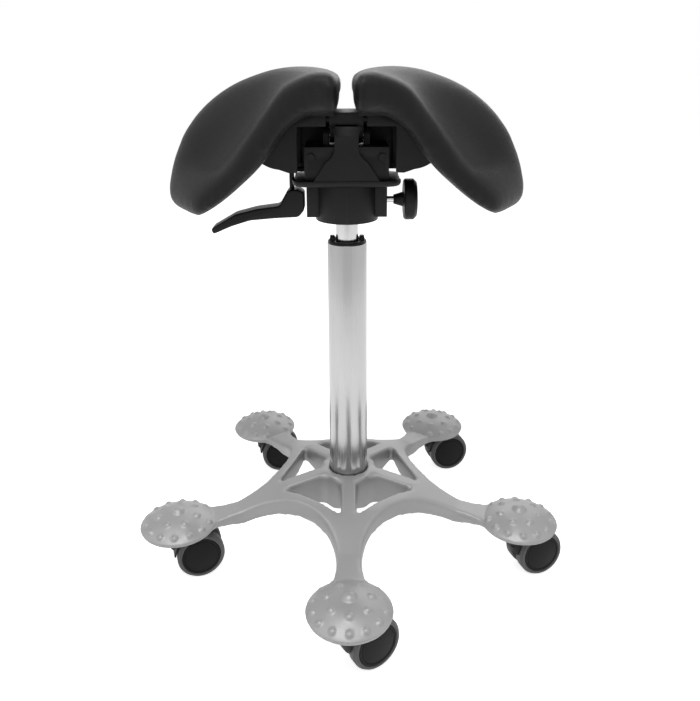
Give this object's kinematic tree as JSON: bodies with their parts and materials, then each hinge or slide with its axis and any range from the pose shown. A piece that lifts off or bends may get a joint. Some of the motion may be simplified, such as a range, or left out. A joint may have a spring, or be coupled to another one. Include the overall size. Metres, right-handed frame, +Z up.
{
  "type": "saddle stool",
  "caption": "Saddle stool with a split padded seat, gas lift column, tilt mechanism, height lever and a star base with domed foot pads and twin-wheel castors.",
  "frame": {"origin": "column axis at floor level", "axes": "+Z up along the column, -Y towards the stool's front, +X to the right as seen from the front"},
  "size_m": [0.5387, 0.5094, 0.6345],
  "materials": {
    "grey_cast": "satin grey paint on a casting",
    "satin_steel": "satin steel",
    "bright_steel": "bright steel",
    "black_metal": "black powder coat",
    "black_plastic": "black moulded plastic",
    "black_leather": "black leather",
    "grey_tread": "grey soft tread",
    "black_rubber": "black rubber"
  },
  "bodies": {
    "base": {"star_base": "grey_cast", "column_tube": "satin_steel", "guide_sleeve": "black_plastic", "bearing_washer_lower": "bright_steel", "bearing_balls": "bright_steel"},
    "rod": {"piston_rod": "bright_steel", "rod_clip": "bright_steel", "rubber_buffer": "black_rubber", "bearing_washer_upper": "bright_steel"},
    "lift": {"gas_cylinder": "bright_steel", "mechanism_housing": "black_metal", "mechanism_plate": "black_metal", "mechanism_block": "black_metal", "mechanism_cover": "black_plastic", "cover_screws": "black_metal", "lever_pin": "bright_steel", "tilt_pin": "bright_steel"},
    "button": {"release_button": "bright_steel"},
    "lever": {"lever_paddle": "black_plastic", "lever_rod": "bright_steel"},
    "knob": {"hand_knob": "black_plastic", "knob_spindle": "bright_steel"},
    "tilt": {"tilt_carrier": "black_metal", "guide_rails": "bright_steel"},
    "seat_left": {"seat_pad_left": "black_leather", "seat_pan_left": "black_plastic", "seat_bracket_left": "black_metal"},
    "seat_right": {"seat_pad_right": "black_leather", "seat_pan_right": "black_plastic", "seat_bracket_right": "black_metal"},
    "castor_front": {"castor_front_hood": "black_plastic", "castor_front_pins": "bright_steel"},
    "wheel_front_l": {"castor_front_wheel_l": "black_plastic", "castor_front_tread_l": "grey_tread"},
    "wheel_front_r": {"castor_front_wheel_r": "black_plastic", "castor_front_tread_r": "grey_tread"},
    "castor_front_right": {"castor_front_right_hood": "black_plastic", "castor_front_right_pins": "bright_steel"},
    "wheel_front_right_l": {"castor_front_right_wheel_l": "black_plastic", "castor_front_right_tread_l": "grey_tread"},
    "wheel_front_right_r": {"castor_front_right_wheel_r": "black_plastic", "castor_front_right_tread_r": "grey_tread"},
    "castor_back_right": {"castor_back_right_hood": "black_plastic", "castor_back_right_pins": "bright_steel"},
    "wheel_back_right_l": {"castor_back_right_wheel_l": "black_plastic", "castor_back_right_tread_l": "grey_tread"},
    "wheel_back_right_r": {"castor_back_right_wheel_r": "black_plastic", "castor_back_right_tread_r": "grey_tread"},
    "castor_back_left": {"castor_back_left_hood": "black_plastic", "castor_back_left_pins": "bright_steel"},
    "wheel_back_left_l": {"castor_back_left_wheel_l": "black_plastic", "castor_back_left_tread_l": "grey_tread"},
    "wheel_back_left_r": {"castor_back_left_wheel_r": "black_plastic", "castor_back_left_tread_r": "grey_tread"},
    "castor_front_left": {"castor_front_left_hood": "black_plastic", "castor_front_left_pins": "bright_steel"},
    "wheel_front_left_l": {"castor_front_left_wheel_l": "black_plastic", "castor_front_left_tread_l": "grey_tread"},
    "wheel_front_left_r": {"castor_front_left_wheel_r": "black_plastic", "castor_front_left_tread_r": "grey_tread"}
  },
  "joints": [
    {"name": "seat_swivel", "type": "hinge", "parent": "base", "child": "rod", "pos_m": [0, 0, 0.066], "axis": [0, 0, 1], "continuous": true},
    {"name": "seat_height", "type": "slide", "parent": "rod", "child": "lift", "axis": [0, 0, 1], "range_m": [-0.01, 0.19]},
    {"name": "height_lever", "type": "hinge", "parent": "lift", "child": "lever", "pos_m": [-0.044, 0, 0.514], "axis": [0, 1, 0], "range_deg": [0, 3.9], "stiffness_Nm_per_rad": 1.5},
    {"name": "release_valve", "type": "slide", "parent": "lift", "child": "button", "axis": [0, 0, -1], "range_m": [0, 0.003], "stiffness_N_per_m": 400},
    {"name": "clamp_knob", "type": "hinge", "parent": "lift", "child": "knob", "pos_m": [0.078, 0, 0.476], "axis": [1, 0, 0], "range_deg": [-180, 180]},
    {"name": "seat_tilt", "type": "hinge", "parent": "lift", "child": "tilt", "pos_m": [0, 0, 0.556], "axis": [1, 0, 0], "range_deg": [-3, 8]},
    {"name": "gap_left", "type": "slide", "parent": "tilt", "child": "seat_left", "axis": [-1, 0, 0], "range_m": [-0.003, 0.012]},
    {"name": "gap_right", "type": "slide", "parent": "tilt", "child": "seat_right", "axis": [1, 0, 0], "range_m": [-0.003, 0.012]},
    {"name": "castor_front_swivel", "type": "hinge", "parent": "base", "child": "castor_front", "pos_m": [0, -0.228, 0.07], "axis": [0, 0, 1], "continuous": true},
    {"name": "wheel_front_l_spin", "type": "hinge", "parent": "castor_front", "child": "wheel_front_l", "pos_m": [0.01362, -0.20451, 0.03], "axis": [-0.5299, 0.848, 0], "continuous": true},
    {"name": "wheel_front_r_spin", "type": "hinge", "parent": "castor_front", "child": "wheel_front_r", "pos_m": [0.02708, -0.22605, 0.03], "axis": [-0.5299, 0.848, 0], "continuous": true},
    {"name": "castor_front_right_swivel", "type": "hinge", "parent": "base", "child": "castor_front_right", "pos_m": [0.21684, -0.07046, 0.07], "axis": [0, 0, 1], "continuous": true},
    {"name": "wheel_front_right_l_spin", "type": "hinge", "parent": "castor_front_right", "child": "wheel_front_right_l", "pos_m": [0.2354, -0.05063, 0.03], "axis": [-0.3256, 0.9455, 0], "continuous": true},
    {"name": "wheel_front_right_r_spin", "type": "hinge", "parent": "castor_front_right", "child": "wheel_front_right_r", "pos_m": [0.24367, -0.07465, 0.03], "axis": [-0.3256, 0.9455, 0], "continuous": true},
    {"name": "castor_back_right_swivel", "type": "hinge", "parent": "base", "child": "castor_back_right", "pos_m": [0.13401, 0.18446, 0.07], "axis": [0, 0, 1], "continuous": true},
    {"name": "wheel_back_right_l_spin", "type": "hinge", "parent": "castor_back_right", "child": "wheel_back_right_l", "pos_m": [0.15423, 0.20258, 0.03], "axis": [-0.2419, 0.9703, 0], "continuous": true},
    {"name": "wheel_back_right_r_spin", "type": "hinge", "parent": "castor_back_right", "child": "wheel_back_right_r", "pos_m": [0.16037, 0.17794, 0.03], "axis": [-0.2419, 0.9703, 0], "continuous": true},
    {"name": "castor_back_left_swivel", "type": "hinge", "parent": "base", "child": "castor_back_left", "pos_m": [-0.13401, 0.18446, 0.07], "axis": [0, 0, 1], "continuous": true},
    {"name": "wheel_back_left_l_spin", "type": "hinge", "parent": "castor_back_left", "child": "wheel_back_left_l", "pos_m": [-0.11318, 0.20187, 0.03], "axis": [-0.2079, 0.9781, 0], "continuous": true},
    {"name": "wheel_back_left_r_spin", "type": "hinge", "parent": "castor_back_left", "child": "wheel_back_left_r", "pos_m": [-0.1079, 0.17702, 0.03], "axis": [-0.2079, 0.9781, 0], "continuous": true},
    {"name": "castor_front_left_swivel", "type": "hinge", "parent": "base", "child": "castor_front_left", "pos_m": [-0.21684, -0.07046, 0.07], "axis": [0, 0, 1], "continuous": true},
    {"name": "wheel_front_left_l_spin", "type": "hinge", "parent": "castor_front_left", "child": "wheel_front_left_l", "pos_m": [-0.19828, -0.05063, 0.03], "axis": [-0.3256, 0.9455, 0], "continuous": true},
    {"name": "wheel_front_left_r_spin", "type": "hinge", "parent": "castor_front_left", "child": "wheel_front_left_r", "pos_m": [-0.19001, -0.07465, 0.03], "axis": [-0.3256, 0.9455, 0], "continuous": true}
  ],
  "couplings": [
    {"joint": "release_valve", "follows": "height_lever", "m_per_rad": 0.044},
    {"joint": "gap_right", "follows": "gap_left", "ratio": 1}
  ]
}
